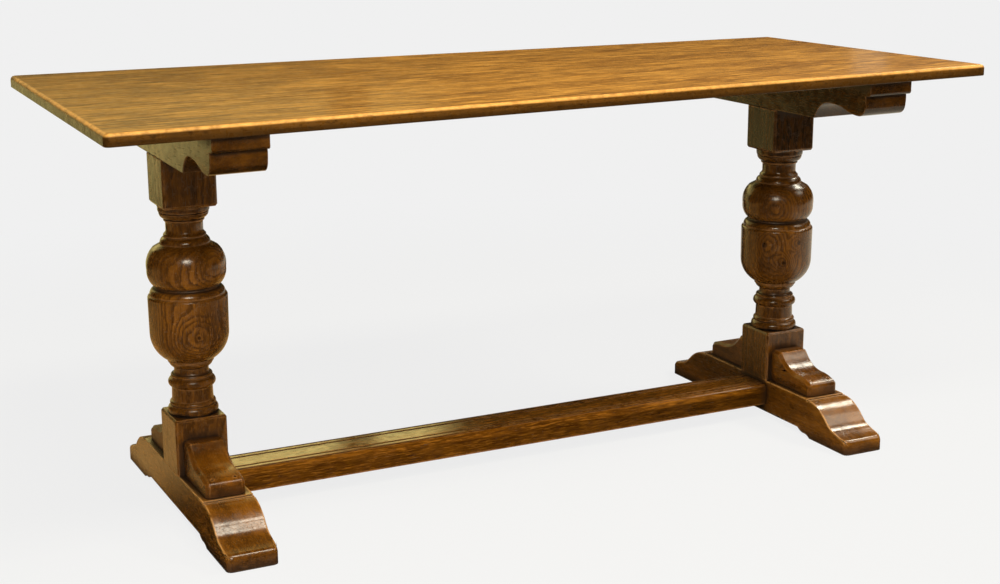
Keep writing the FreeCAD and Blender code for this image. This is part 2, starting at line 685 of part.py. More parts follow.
def make_cylinder(name, diameter, height):
    cylinder = doc.addObject("Part::Cylinder", name)
    bind(cylinder, Radius=f"({diameter}) / 2", Height=height)
    return cylinder


def make_pins(label, side):
    pins = []
    for front in (-1, 1):
        for across in PIN_COLUMNS:
            pin = make_cylinder(f"{label}_{len(pins) + 1}", "pin_diameter", "pin_length")
            place(pin, along=f"{end_place(side)} + {across}", across=f"{front} * {PIN_ROW}",
                  up=f"foot_height + {PIN_RISE} - pin_length")
            pins.append(pin)
    group_pieces(label, pins)


SCREW_TIP_SHARE = 0.16


def make_screws(label, side):
    screws = []
    for across in SCREW_PLACES:
        name = f"{label}_{len(screws) + 1}"
        head = make_cylinder(f"{name}_head", "screw_head_diameter", "screw_head_height")
        place(head, up=minus("screw_head_height"))
        shank = make_cylinder(f"{name}_shank", "screw_diameter", f"screw_length * {1 - SCREW_TIP_SHARE}")
        tip = doc.addObject("Part::Cone", f"{name}_tip")
        tip.Radius2 = 0
        bind(tip, Radius1="screw_diameter / 2", Height=f"screw_length * {SCREW_TIP_SHARE}")
        place(tip, up=f"screw_length * {1 - SCREW_TIP_SHARE}")
        screw = doc.addObject("Part::MultiFuse", name)
        screw.Shapes = [head, shank, tip]
        place(screw, along=end_place(side), across=across, up=f"{BEARER_UNDERSIDE} + {SCREW_SEAT}")
        screws.append(screw)
    group_pieces(label, screws)


for end_name, end_side, end_turn in ENDS:
    make_bearer(f"bearer_{end_name}", end_side, end_turn)
    make_pillar(f"pillar_{end_name}", end_side, end_turn)
    make_foot(f"foot_{end_name}", end_side, end_turn)
    make_bracket(f"bracket_{end_name}_front", end_side, 180)
    make_bracket(f"bracket_{end_name}_back", end_side, 0)
    make_wedges(f"bearer_wedges_{end_name}", end_side, TOP_UNDERSIDE, -1)
    make_wedges(f"foot_wedges_{end_name}", end_side, "arch_height", 1)
    make_peg(f"stretcher_peg_{end_name}", end_side)
    make_pins(f"bracket_pins_{end_name}", end_side)
    make_screws(f"top_screws_{end_name}", end_side)
make_stretcher("stretcher")
doc.recompute()

# The finished sub-parts are the bodies, pegs and groups that no other object uses
SUB_PART_KINDS = ("PartDesign::Body", "Part::Prism", "Part::Compound")
sub_parts = [obj for obj in doc.Objects if obj.TypeId in SUB_PART_KINDS
             and not any(user.TypeId == "Part::Compound" for user in obj.InList)]

for obj in doc.Objects:
    if "Invalid" in obj.State or "Error" in obj.State:
        raise RuntimeError(f"{obj.Label} did not recompute: {obj.State}")
for sub_part in sub_parts:
    if sub_part.Shape.isNull() or not sub_part.Shape.isValid():
        raise RuntimeError(f"{sub_part.Label} has no valid shape")

os.makedirs("parts", exist_ok=True)
for sub_part in sub_parts:
    sub_part.Shape.exportStep(os.path.join("parts", f"{sub_part.Label}.step"))
    print(sub_part.Label, len(sub_part.Shape.Solids), round(sub_part.Shape.Volume))
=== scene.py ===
import math
from types import SimpleNamespace

import bmesh
import bpy
from mathutils import Matrix, Vector, noise


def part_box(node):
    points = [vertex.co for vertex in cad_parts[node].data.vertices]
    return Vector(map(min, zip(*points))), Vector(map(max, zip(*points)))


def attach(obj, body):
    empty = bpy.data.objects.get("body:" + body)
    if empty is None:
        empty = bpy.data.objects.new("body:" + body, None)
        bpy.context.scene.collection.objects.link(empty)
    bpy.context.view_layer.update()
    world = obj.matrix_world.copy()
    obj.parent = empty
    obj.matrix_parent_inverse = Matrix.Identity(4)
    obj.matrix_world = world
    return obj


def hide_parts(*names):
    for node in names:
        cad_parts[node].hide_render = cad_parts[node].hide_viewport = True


# Refectory table in dark polished oak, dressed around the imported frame. Lengths are in metres:
# X runs along the top, Y across it with the front at -Y, Z up from the floor.

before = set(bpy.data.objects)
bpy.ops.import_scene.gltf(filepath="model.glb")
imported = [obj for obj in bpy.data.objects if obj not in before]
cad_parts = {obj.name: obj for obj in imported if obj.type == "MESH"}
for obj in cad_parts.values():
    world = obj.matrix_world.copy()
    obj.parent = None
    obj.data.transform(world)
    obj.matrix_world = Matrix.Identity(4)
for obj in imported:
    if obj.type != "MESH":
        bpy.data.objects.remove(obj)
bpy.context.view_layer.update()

TOP_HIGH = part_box("top_board_front")[1]
HALF_LENGTH = TOP_HIGH.x
HALF_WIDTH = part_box("top_board_back")[1].y

ALONG, ACROSS, UP = range(3)
ENDS = ("left", "right")


# Meshes

MERGE_DISTANCE = 2e-5
FLAT_ANGLE = math.radians(0.6)
SHARP_ANGLE = math.radians(24)
SLICE_SNAP = 0.0015
BEVEL_SEGMENTS = 3

# Bevel weight of an edge: the share that is even all along, the least weight, and how the rest wanders
EVEN_WEAR_SHARE = 0.35
LEAST_WEIGHT = 0.12
WANDER_MIDDLE = 0.5
WANDER_SCALE = 18
FINE_WANDER_SCALE = 54
FINE_WANDER_SHARE = 0.5

# The old top has gone slightly out of wind, and the bearers with it
TWIST = 0.005


def out_of_wind(place):
    """Lifts a point of the top or of a bearer by the twist of the top there."""
    lift = -TWIST * (place.x / HALF_LENGTH) * (place.y / HALF_WIDTH)
    return Vector((place.x, place.y, place.z + lift))


def clean_copy(node_name):
    """The solid's mesh with its seams joined and its flat faces whole, in convex pieces."""
    bm = bmesh.new()
    bm.from_mesh(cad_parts[node_name].data)
    bmesh.ops.remove_doubles(bm, verts=bm.verts, dist=MERGE_DISTANCE)
    bmesh.ops.dissolve_limit(bm, angle_limit=FLAT_ANGLE, verts=bm.verts, edges=bm.edges)
    bmesh.ops.connect_verts_concave(bm, faces=bm.faces[:])
    return bm


def slice_at(bm, axis, levels, snap=SLICE_SNAP):
    """Cuts a mesh across an axis at the given places."""
    normal = Vector((0, 0, 0))
    normal[axis] = 1
    for level in levels:
        place = Vector((0, 0, 0))
        place[axis] = level
        everything = bm.verts[:] + bm.edges[:] + bm.faces[:]
        bmesh.ops.bisect_plane(bm, geom=everything, plane_co=place, plane_no=normal, dist=snap)


def slice_along(bm, axis, step):
    """Cuts a mesh across an axis at even steps, so that wear can change along its edges."""
    low = min(vertex.co[axis] for vertex in bm.verts)
    high = max(vertex.co[axis] for vertex in bm.verts)
    count = max(int((high - low) / step), 1)
    slice_at(bm, axis, [low + (high - low) * number / count for number in range(1, count)])


def weigh_edges(bm, shift):
    """Gives each outer edge a bevel weight that wanders along it, and inner edges none."""
    layer = bm.edges.layers.float.new("bevel_weight_edge")
    offset = Vector((shift, 0, 0))
    for edge in bm.edges:
        if len(edge.link_faces) != 2 or edge.calc_face_angle_signed(0) < SHARP_ANGLE:
            continue
        middle = (edge.verts[0].co + edge.verts[1].co) / 2
        wander = noise.noise(middle * WANDER_SCALE + offset)
        wander += FINE_WANDER_SHARE * noise.noise(middle * FINE_WANDER_SCALE)
        weight = EVEN_WEAR_SHARE + (1 - EVEN_WEAR_SHARE) * (WANDER_MIDDLE + wander)
        edge[layer] = min(max(weight, LEAST_WEIGHT), 1)


def new_object(name, bm):
    """A smooth object of a mesh, with sharp edges where its faces meet at an angle."""
    mesh = bpy.data.meshes.new(name)
    bm.to_mesh(mesh)
    bm.free()
    if "custom_normal" in mesh.attributes:
        mesh.attributes.remove(mesh.attributes["custom_normal"])
    obj = bpy.data.objects.new(name, mesh)
    bpy.context.scene.collection.objects.link(obj)
    mesh.shade_smooth()
    mesh.set_sharp_from_angle(angle=SHARP_ANGLE)
    return obj


def wear_edges(obj, width):
    """Bevels an object's weighted edges."""
    bevel = obj.modifiers.new("worn edges", "BEVEL")
    bevel.limit_method = "WEIGHT"
    bevel.width = width
    bevel.segments = BEVEL_SEGMENTS
    bevel.use_clamp_overlap = False
    normals = obj.modifiers.new("flat faces", "WEIGHTED_NORMAL")
    normals.keep_sharp = True


def worn_piece(node_name, axis, wear, warp=None, cuts=()):
    """A copy of a solid with its outer edges worn round, more in some places than in others. wear is
    the distance between its slices along the axis and the width of the worn edges; cuts are more
    places to slice, as (axis, levels)."""
    step, width = wear
    bm = clean_copy(node_name)
    slice_along(bm, axis, step)
    for cut_axis, levels in cuts:
        slice_at(bm, cut_axis, levels, MERGE_DISTANCE)
    if warp:
        for vertex in bm.verts:
            vertex.co = warp(vertex.co)
    weigh_edges(bm, len(node_name))
    obj = new_object(f"worn_{node_name}", bm)
    wear_edges(obj, width)
    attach(obj, "root")
    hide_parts(node_name)
    return obj


# Materials

NUMBER_OPERATIONS = ("DISTANCE", "DOT_PRODUCT", "LENGTH")


class Tree:
    """Short forms for making a material's nodes."""

    def __init__(self, material):
        self.tree = material.node_tree
        self.nodes = self.tree.nodes
        self.nodes.clear()

    def node(self, kind, settings=None, **inputs):
        made = self.nodes.new(kind)
        for name, value in (settings or {}).items():
            setattr(made, name, value)
        for name, value in inputs.items():
            self.feed(made, name.replace("_", " "), value)
        return made

    def feed(self, node, name, value):
        socket = node.inputs[int(name)] if name.isdigit() else node.inputs[name]
        if isinstance(value, bpy.types.NodeSocket):
            self.tree.links.new(value, socket)
        else:
            socket.default_value = value

    def feed_all(self, node, *values):
        for index, value in enumerate(values):
            self.feed(node, str(index), value)

    def maths(self, operation, first, second=0.0, clamp=False):
        made = self.node("ShaderNodeMath", {"operation": operation, "use_clamp": clamp})
        self.feed_all(made, first, second)
        return made.outputs[0]

    def product(self, first, *others):
        for other in others:
            first = self.maths("MULTIPLY", first, other)
        return first

    def vector(self, operation, *values):
        made = self.node("ShaderNodeVectorMath", {"operation": operation})
        self.feed_all(made, *values)
        return made.outputs["Value" if operation in NUMBER_OPERATIONS else "Vector"]

    def split(self, place):
        return self.node("ShaderNodeSeparateXYZ", Vector=place).outputs

    def ramp(self, value, low, high, out_low=0.0, out_high=1.0, smooth=True):
        kind = "SMOOTHSTEP" if smooth else "LINEAR"
        made = self.node("ShaderNodeMapRange", {"interpolation_type": kind})
        for name, number in (("Value", value), ("From Min", low), ("From Max", high),
                             ("To Min", out_low), ("To Max", out_high)):
            self.feed(made, name, number)
        return made.outputs["Result"]

    def mix(self, share, first, second):
        made = self.node("ShaderNodeMix", {"data_type": "RGBA"})
        for name, value in (("0", share), ("6", first), ("7", second)):
            self.feed(made, name, value)
        return made.outputs[2]

    def blend(self, share, first, second):
        made = self.node("ShaderNodeMixShader")
        self.feed_all(made, share, first.outputs[0], second.outputs[0])
        return made.outputs[0]

    def noise(self, place, scale, detail=3.0, roughness=0.55):
        made = self.node("ShaderNodeTexNoise", Vector=place, Scale=scale, Detail=detail,
                         Roughness=roughness)
        return made.outputs["Fac"]

    def stretched(self, place, scales):
        return self.node("ShaderNodeMapping", Vector=place, Scale=scales).outputs["Vector"]

    def place(self):
        return self.node("ShaderNodeTexCoord").outputs["Object"]


def new_material(name):
    material = bpy.data.materials.new(name)
    material.use_nodes = True
    return material, Tree(material)


def colour(red, green, blue):
    """An 8-bit display colour as a scene colour."""
    def linear(level):
        share = level / 255
        return share / 12.92 if share <= 0.04045 else ((share + 0.055) / 1.055) ** 2.4
    return (linear(red), linear(green), linear(blue), 1.0)


def shaded(tone, share):
    """A share of a colour's light."""
    return tuple(share * level for level in tone[:3]) + (1.0,)


BLACK = (0.0, 0.0, 0.0, 1.0)


def along_axis(axis, along, across):
    """Scales of a texture that runs along an axis."""
    scales = [across, across, across]
    scales[axis] = along
    return tuple(scales)


def grain(tree, place, axis, texture):
    """Noise drawn out along an axis. texture is its scales along and across the axis, its detail and
    its roughness."""
    along, across, detail, roughness = texture
    return tree.noise(tree.stretched(place, along_axis(axis, along, across)), 1.0, detail, roughness)


def nearness(tree, place, centre, reach):
    """One at a point, falling to zero at a distance from it."""
    return tree.ramp(tree.vector("DISTANCE", place, centre), reach, 0.0)


# Year rings: the slow bends and the wobble of the trunk, as scales along and across, detail and size
SLOW_BENDS = (3.5, 9, 2.0, 0.06)
WOBBLE = (25, 60, 3.0, 0.012)
NOISE_MIDDLE = (0.5, 0.5, 0.5)
# Shares of a ring where its late wood starts and ends, and the rings that a knot pushes aside
LATE_WOOD = (0.2, 0.92)
RING_END = 1.0
KNOT_RINGS = 4


def drift(tree, place, axis, texture):
    """Coloured noise drawn out along an axis, for bending a place."""
    along, across, detail, size = texture
    stretched = tree.stretched(place, along_axis(axis, along, across))
    made = tree.node("ShaderNodeTexNoise", Vector=stretched, Scale=1.0, Detail=detail)
    return made.outputs["Color"], (size, size, size)


def year_rings(tree, wood):
    """Late wood of the year rings round the heart of the tree, bent by slow waves and by knots."""
    bend, size = drift(tree, wood.place, wood.axis, SLOW_BENDS)
    bend = tree.vector("MULTIPLY_ADD", tree.vector("SUBTRACT", bend, NOISE_MIDDLE), size, wood.place)
    wobble, size = drift(tree, wood.place, wood.axis, WOBBLE)
    parts = tree.split(tree.vector("MULTIPLY_ADD", wobble, size, bend))
    across = [parts[index] for index in (ALONG, ACROSS, UP) if index != wood.axis]
    first = tree.maths("SUBTRACT", across[0], wood.pith[0])
    second = tree.maths("SUBTRACT", across[1], wood.pith[1])
    squares = tree.maths("ADD", tree.product(first, first), tree.product(second, second))
    reach = tree.maths("SQRT", squares)
    for centre, spread, size in wood.knots:
        near = nearness(tree, wood.place, centre, spread)
        reach = tree.maths("ADD", reach, tree.product(near, KNOT_RINGS * wood.ring))
    rings = tree.maths("FRACT", tree.maths("DIVIDE", reach, wood.ring))
    return tree.product(tree.ramp(rings, *LATE_WOOD), tree.ramp(rings, RING_END, LATE_WOOD[1]))


# Rim of the top: tones of its upright edge, plain, between the streaks, chipped and near its foot
EDGE_TONE = colour(92, 58, 18)
STREAKED_EDGE = shaded(EDGE_TONE, 0.55)
CHIPPED_EDGE = shaded(EDGE_TONE, 0.2)
LOW_EDGE = shaded(EDGE_TONE, 0.25)
PALE_WEAR = colour(196, 142, 70)
EDGE_STREAKS = (0.35, 0.65)
# Chips: scales down and along the edge, detail and roughness; levels where they start and are full
CHIP_TEXTURE = (150, 70, 4.0, 0.7)
CHIP_LEVELS = (0.52, 0.66)
CHIP_SHARE = 0.75
# Depths under the upper face where the pale arris ends and starts, and where the edge gets dark
ARRIS_DEPTHS = (0.0065, 0.003)
LOW_EDGE_DEPTHS = (0.006, 0.018)
LOW_EDGE_SHARE = 0.8
# Distances from the outline where the pale arris ends and starts, and its strength between patches
RIM_INSETS = (0.008, 0.003)
ARRIS_PATCHES = (0.3, 0.65, 0.3, 0.95)
# Share of the half width where the pale arris fades out towards the back
ARRIS_BACK_SHARE = 0.8
# Upward part of the normal where a face counts as upper and as upright
UPRIGHT = (0.6, 0.2)
# The left end is darker: places along it where that ends and is full, and the share of black
DARK_END = (0.0, -0.75)
DARK_END_SHARE = 0.36


def upright_edge_tone(tree, wood, streak, depth):
    """The dark upright edge of the top, with streaks and chips."""
    chips = tree.ramp(grain(tree, wood.whole, UP, CHIP_TEXTURE), *CHIP_LEVELS)
    tone = tree.mix(tree.ramp(streak, *EDGE_STREAKS), STREAKED_EDGE, EDGE_TONE)
    tone = tree.mix(tree.product(chips, CHIP_SHARE), tone, CHIPPED_EDGE)
    return tree.mix(tree.ramp(depth, *LOW_EDGE_DEPTHS, 0.0, LOW_EDGE_SHARE), tone, LOW_EDGE)


def worn_rim(tree, wood, masks, tone):
    """The rim of the top: a pale rubbed arris over a darker upright edge with chips."""
    parts = tree.split(wood.whole)
    along = tree.maths("SUBTRACT", HALF_LENGTH, tree.maths("ABSOLUTE", parts["X"]))
    across = tree.maths("SUBTRACT", HALF_WIDTH, tree.maths("ABSOLUTE", parts["Y"]))
    inset = tree.maths("MINIMUM", along, across)
    twist = tree.product(parts["X"], parts["Y"], -TWIST / (HALF_LENGTH * HALF_WIDTH))
    depth = tree.maths("SUBTRACT", tree.maths("ADD", twist, TOP_HIGH.z), parts["Z"])
    tone = tree.mix(tree.ramp(parts["X"], *DARK_END, 0.0, DARK_END_SHARE), tone, BLACK)
    side_tone = upright_edge_tone(tree, wood, masks.streak, depth)
    tone = tree.mix(tree.ramp(masks.facing, *UPRIGHT), tone, side_tone)
    rubbed = tree.product(tree.ramp(inset, *RIM_INSETS), tree.ramp(depth, *ARRIS_DEPTHS),
                          tree.ramp(masks.patch, *ARRIS_PATCHES),
                          tree.ramp(parts["Y"], HALF_WIDTH, ARRIS_BACK_SHARE * HALF_WIDTH))
    return tree.mix(rubbed, tone, PALE_WEAR)


# Settings of an oak piece, unless it says otherwise
PLAIN_OAK = {
    # Origin of the piece's grain, and the heart of its tree from there, in the two directions across
    "shift": (0, 0, 0),
    "pith": (0.1, 0.06),
    # Width of a year ring, and how strongly the rings show
    "ring": 0.005,
    "figure": 0.3,
    # Knots: centre, spread of the bent rings, size of the dark core
    "knots": (),
    # Dashes of open grain: strength, scales along and across the grain, and the distances from the
    # middle of the noise where a dash starts and is full
    "dash": 0.4,
    "dash_scales": (48, 360),
    "dash_edges": (0.06, 0.16),
    # Share of the light tone in the cloudy patches
    "cloud_share": 0.8,
    # Roughness, level of the wood's own gloss, and weight of a thin hard polish over it
    "rough": 0.26,
    "shine": 0.5,
    "coat": 0.0,
    # Strength of the bump, and the radius of the soft edges
    "uneven": 0.5,
    "soft": 0.002,
    # Rubbed edges: reach, tone (the light one where there is none) and share
    "wear_reach": 0.004,
    "wear_tone": None,
    "wear_share": 0.8,
    # Share of old wax and dirt, with painted shade, in the corners and crevices, and of the tone that is
    # left under the painted shade of undersides
    "dirt": 0.9,
    "under": 1.0,
    # Whether the piece has the worn rim of the top
    "rim": False,
    # A darker band, which on the pillars and bearers is painted shade under the top: the heights where it
    # starts and is full, and the share of the tone left
    "deep": None,
    # More of that darkening along X: the places where it starts and is full, and the share left
    "far": None,
}

# Textures: scales along and across the grain, detail and roughness
STREAKS = (7, 130, 5.0, 0.65)
DASH_ROUGHNESS = (3.0, 0.55)
PORES = (45, 750, 2.0, 0.5)
CLOUDS = (5, 16, 4.0, 0.55)
PATCHES = (60, 60, 4.0, 0.65)
WAVES = (6, 22, 2.0, 0.5)
DENTS = (210, 210, 2.0, 0.55)
# Levels of these textures where a mark starts and is full
STREAK_LEVELS = (0.36, 0.64)
PORE_LEVELS = (0.42, 0.32)
CLOUD_LEVELS = (0.4, 0.7)
DENT_LEVELS = (0.33, 0.24)
DASH_MIDDLE = 0.5
# Shares of the dark tone that are left in the late wood, dashes, pores, knots, and the dirt and painted
# shade of corners
LATE_WOOD_SHARE = 0.75
DASH_SHARE = 0.7
PORE_SHARE = 0.35
KNOT_SHARE = 0.35
DIRT_AND_SHADE_SHARE = 0.2
PORE_STRENGTH = 0.5
KNOT_CORE = (0.1, 0.7, 0.0, 0.85)


def grain_masks(tree, wood):
    """Streaks, short dashes of open grain, pores, broad cloudy tone and rubbed patches."""
    def texture(scales):
        return grain(tree, wood.place, wood.axis, scales)
    return SimpleNamespace(
        late=year_rings(tree, wood),
        streak=texture(STREAKS),
        dashes=texture((*wood.dash_scales, *DASH_ROUGHNESS)),
        pores=tree.ramp(texture(PORES), *PORE_LEVELS),
        cloud=texture(CLOUDS),
        patch=texture(PATCHES),
        wave=texture(WAVES),
        dents=tree.ramp(texture(DENTS), *DENT_LEVELS),
    )


def grain_tone(tree, wood, masks):
    """The colour of the wood itself."""
    tone = tree.mix(tree.ramp(masks.streak, *STREAK_LEVELS), wood.dark, wood.middle)
    tone = tree.mix(tree.ramp(masks.cloud, *CLOUD_LEVELS, 0.0, wood.cloud_share), tone, wood.light)
    tone = tree.mix(tree.product(masks.late, wood.figure), tone, shaded(wood.dark, LATE_WOOD_SHARE))
    for sign, dash_tone in ((1, wood.light), (-1, shaded(wood.dark, DASH_SHARE))):
        start, full = (DASH_MIDDLE + sign * edge for edge in wood.dash_edges)
        tone = tree.mix(tree.ramp(masks.dashes, start, full, 0.0, wood.dash), tone, dash_tone)
    tone = tree.mix(tree.product(masks.pores, PORE_STRENGTH), tone, shaded(wood.dark, PORE_SHARE))
    for centre, spread, size in wood.knots:
        core = tree.ramp(nearness(tree, wood.place, centre, size), *KNOT_CORE)
        tone = tree.mix(core, tone, shaded(wood.dark, KNOT_SHARE))
    return tone


# Samples and reach of the shading that finds edges, corners and narrow crevices
EDGE_SAMPLES = 8
CORNER_SAMPLES = 16
CORNER_REACH = 0.04
CREVICE_SAMPLES = 12
CREVICE_REACH = 0.006
# Levels where an edge, its rubbed patches and its clear places start and are full
EDGE_LEVELS = (0.99, 0.92)
EDGE_PATCHES = (0.3, 0.55)
EDGE_CLEAR = (0.6, 0.95)
# Openness where the dirt and painted shade of corners and of crevices start and are full
CORNER_LEVELS = (0.9, 0.4)
CREVICE_LEVELS = (0.85, 0.45)
# Upward part of the normal where the painted shade of an underside starts and is full
UNDERSIDE_SHADE = (-0.1, -0.5)


def rounded_normal(tree, radius):
    return tree.node("ShaderNodeBevel", {"samples": EDGE_SAMPLES}, Radius=radius).outputs["Normal"]


def openness(tree, samples, reach):
    return tree.node("ShaderNodeAmbientOcclusion", {"samples": samples}, Distance=reach).outputs["AO"]


def add_wear_masks(tree, wood, masks):
    """Rubbed edges, dirt and painted shade in corners, and which way the surface faces."""
    plain = tree.node("ShaderNodeNewGeometry").outputs["Normal"]
    bent = tree.vector("DOT_PRODUCT", rounded_normal(tree, wood.wear_reach), plain)
    corner = openness(tree, CORNER_SAMPLES, CORNER_REACH)
    crevice = openness(tree, CREVICE_SAMPLES, CREVICE_REACH)
    masks.facing = tree.split(plain)["Z"]
    masks.edge = tree.product(tree.ramp(bent, *EDGE_LEVELS), tree.ramp(masks.patch, *EDGE_PATCHES),
                              tree.ramp(crevice, *EDGE_CLEAR))
    # Dirt and painted shade where corners and crevices are closed in
    masks.grime = tree.maths("MAXIMUM", tree.ramp(corner, *CORNER_LEVELS, 0.0, wood.dirt),
                             tree.ramp(crevice, *CREVICE_LEVELS, 0.0, wood.dirt))


def stained(tree, wood, masks, tone):
    """Paints shade on undersides, and darkens the bands given by deep and far."""
    parts = tree.split(wood.whole)
    if wood.under < 1:
        # Painted shade on undersides
        tone = tree.mix(tree.ramp(masks.facing, *UNDERSIDE_SHADE, 0.0, 1 - wood.under), tone, BLACK)
    # A darker band at given heights, which is painted shade under the top on the pillars and bearers
    if wood.deep:
        start, full, left = wood.deep
        tone = tree.mix(tree.ramp(parts["Z"], start, full, 0.0, 1 - left), tone, BLACK)
    if wood.far:
        far_start, far_full, far_left = wood.far
        growth = tree.ramp(parts["X"], far_start, far_full, 0.0, 1 - far_left)
        tone = tree.mix(tree.product(growth, tree.ramp(parts["Z"], start, full)), tone, BLACK)
    return tone


# Heights of the hand-planed waves and of the streaks, and depths of the pores and dents
WAVE_HEIGHT = 0.0025
STREAK_HEIGHT = 0.0004
PORE_DEPTH = 0.0001
DENT_DEPTH = 0.0002


def uneven_normal(tree, wood, masks):
    """Bump from pores, streaks, dents and the uneven hand-planed surface."""
    height = tree.maths("ADD", tree.product(masks.wave, WAVE_HEIGHT),
                        tree.product(masks.streak, STREAK_HEIGHT))
    height = tree.maths("SUBTRACT", height, tree.product(masks.pores, PORE_DEPTH))
    height = tree.maths("SUBTRACT", height, tree.product(masks.dents, DENT_DEPTH))
    bump = tree.node("ShaderNodeBump", Strength=wood.uneven, Distance=1.0, Height=height,
                     Normal=rounded_normal(tree, wood.soft))
    return bump.outputs["Normal"]


# Roughness: levels of the rubbed patches with the change in each, and what pores, dirt and edges add
POLISH_PATCHES = (0.3, 0.7)
POLISH_CHANGES = (-0.05, 0.07)
PORE_ROUGHNESS = 0.12
DIRT_ROUGHNESS = 0.5
EDGE_ROUGHNESS = 0.3
# Roughness of the upright edges of the top against its upper face, and of the hard polish
RIM_GLOSS = 0.42
COAT_ROUGHNESS = 0.09
WOOD_IOR = 1.45


def polish(tree, wood, masks):
    """Roughness of the polish, with worn and dirty places duller."""
    levels = (wood.rough + change for change in POLISH_CHANGES)
    gloss = tree.maths("ADD", tree.ramp(masks.patch, *POLISH_PATCHES, *levels),
                       tree.product(masks.pores, PORE_ROUGHNESS))
    gloss = tree.maths("ADD", gloss, tree.product(masks.grime, DIRT_ROUGHNESS))
    gloss = tree.maths("ADD", gloss, tree.product(masks.edge, EDGE_ROUGHNESS), clamp=True)
    if wood.rim:
        gloss = tree.product(gloss, tree.ramp(masks.facing, *reversed(UPRIGHT), RIM_GLOSS, 1.0))
    return gloss


def oak(name, axis, tones, **changes):
    """Polished oak with its grain along an axis. tones are the dark, middle and light colours, and
    changes are the settings that differ from PLAIN_OAK."""
    material, tree = new_material(name)
    wood = SimpleNamespace(axis=axis, **{**PLAIN_OAK, **changes})
    wood.dark, wood.middle, wood.light = tones
    wood.whole = tree.place()
    wood.place = tree.vector("SUBTRACT", wood.whole, wood.shift)
    masks = grain_masks(tree, wood)
    add_wear_masks(tree, wood, masks)
    tone = grain_tone(tree, wood, masks)
    if wood.rim:
        tone = worn_rim(tree, wood, masks, tone)
    tone = stained(tree, wood, masks, tone)
    tone = tree.mix(tree.product(masks.edge, wood.wear_share), tone, wood.wear_tone or wood.light)
    # Dirt and painted shade darken corners and crevices
    tone = tree.mix(masks.grime, tone, shaded(wood.dark, DIRT_AND_SHADE_SHARE))
    shader = tree.node("ShaderNodeBsdfPrincipled", Base_Color=tone, Roughness=polish(tree, wood, masks),
                       Normal=uneven_normal(tree, wood, masks), IOR=WOOD_IOR,
                       Specular_IOR_Level=wood.shine, Coat_Weight=wood.coat,
                       Coat_Roughness=COAT_ROUGHNESS)
    tree.node("ShaderNodeOutputMaterial", Surface=shader.outputs["BSDF"])
    return material


IRON_TONE = colour(70, 66, 60)
RUST_TONE = colour(88, 58, 38)
RUST_SCALE = 900.0
RUST_DETAIL = 4.0
RUST_LEVELS = (0.4, 0.65)
IRON_ROUGHNESS = (0.3, 0.7, 0.35, 0.7)
IRON_BUMP = 0.4
IRON_BUMP_HEIGHT = 0.0004
IRON_METALLIC = 0.8


def steel(name):
    """Dull iron of old screws and nails."""
    material, tree = new_material(name)
    rust = tree.noise(tree.place(), RUST_SCALE, RUST_DETAIL)
    tone = tree.mix(tree.ramp(rust, *RUST_LEVELS), IRON_TONE, RUST_TONE)
    bump = tree.node("ShaderNodeBump", Strength=IRON_BUMP, Distance=IRON_BUMP_HEIGHT, Height=rust)
    shader = tree.node("ShaderNodeBsdfPrincipled", Base_Color=tone, Normal=bump.outputs["Normal"],
                       Roughness=tree.ramp(rust, *IRON_ROUGHNESS), Metallic=IRON_METALLIC)
    tree.node("ShaderNodeOutputMaterial", Surface=shader.outputs["BSDF"])
    return material


def paint(obj, material):
    obj.data.materials.clear()
    obj.data.materials.append(material)


def dress(obj, material):
    paint(obj, material)


# Dark, middle and light tones of the wood, and tones of the rubbed edges
TOP_TONES = (colour(99, 61, 14), colour(151, 101, 30), colour(194, 139, 58))
FRAME_TONES = (colour(66, 37, 6), colour(92, 54, 10), colour(128, 78, 20))
BRACKET_TONES = (colour(58, 31, 3), colour(84, 46, 6), colour(124, 74, 16))
GOLD_TONES = (colour(74, 41, 5), colour(110, 64, 10), colour(160, 100, 28))
INNER_TONES = (colour(96, 66, 36), colour(138, 100, 58), colour(164, 124, 76))
WARM_WEAR = colour(176, 116, 54)
FOOT_WEAR = colour(198, 142, 74)

# Wear of each kind of piece: distance between its slices, and width of its worn edges
BOARD_WEAR = (0.03, 0.0005)
BEARER_WEAR = (0.02, 0.001)
FOOT_EDGE_WEAR = (0.005, 0.0008)
PILLAR_WEAR = (0.05, 0.0006)
BRACKET_WEAR = (0.012, 0.001)
STRETCHER_WEAR = (0.03, 0.0006)

CRISP_EDGES = (0.07, 0.1)
# Scales of the frame's open grain along and across it
FINE_DASHES = (90, 560)

# Top

BOARD_SHIFT = Vector((0.37, 0.11, 0))
BOARD_BASE = Vector((0, 0, 0.05))
TOP_LOOK = dict(pith=(0.02, -0.19), ring=0.011, rough=0.66, wear_share=0.0, dash=0.55, dash_scales=(15, 150),
                dash_edges=CRISP_EDGES, dirt=0.3, rim=True, cloud_share=0.45, coat=0.08, shine=0.2)


def dress_top():
    for number, name in enumerate(("front", "middle", "back")):
        board = worn_piece(f"top_board_{name}", ALONG, BOARD_WEAR, warp=out_of_wind)
        shift = BOARD_BASE + number * BOARD_SHIFT
        dress(board, oak(f"oak_top_{name}", ALONG, TOP_TONES, shift=shift, **TOP_LOOK))


# Frame

# Painted shade under the top at each end, deeper at the right end where less light falls: share of the tone
# that is left, and its heights
TOP_SHADE = {"left": 0.78, "right": 0.44}
TOP_SHADE_HEIGHTS = (0.5, 0.59)
# Wear and open grain of the pillars and brackets
FRAME_LOOK = dict(dash=0.55, dash_scales=FINE_DASHES, wear_tone=WARM_WEAR, wear_share=0.65)

# Bearers

# Old nails in the bearers: place along Y and Z, from the pillar's axis and the floor
NAIL_PLACES = ((-0.035, 0.659), (-0.302, 0.668))
NAIL_SIZE = 0.004
BEARER_LOOK = dict(pith=(0.1, 0.55), rough=0.17, uneven=0.25, wear_tone=WARM_WEAR, wear_share=0.25,
                   dash=0.3, dash_scales=FINE_DASHES, under=0.4)


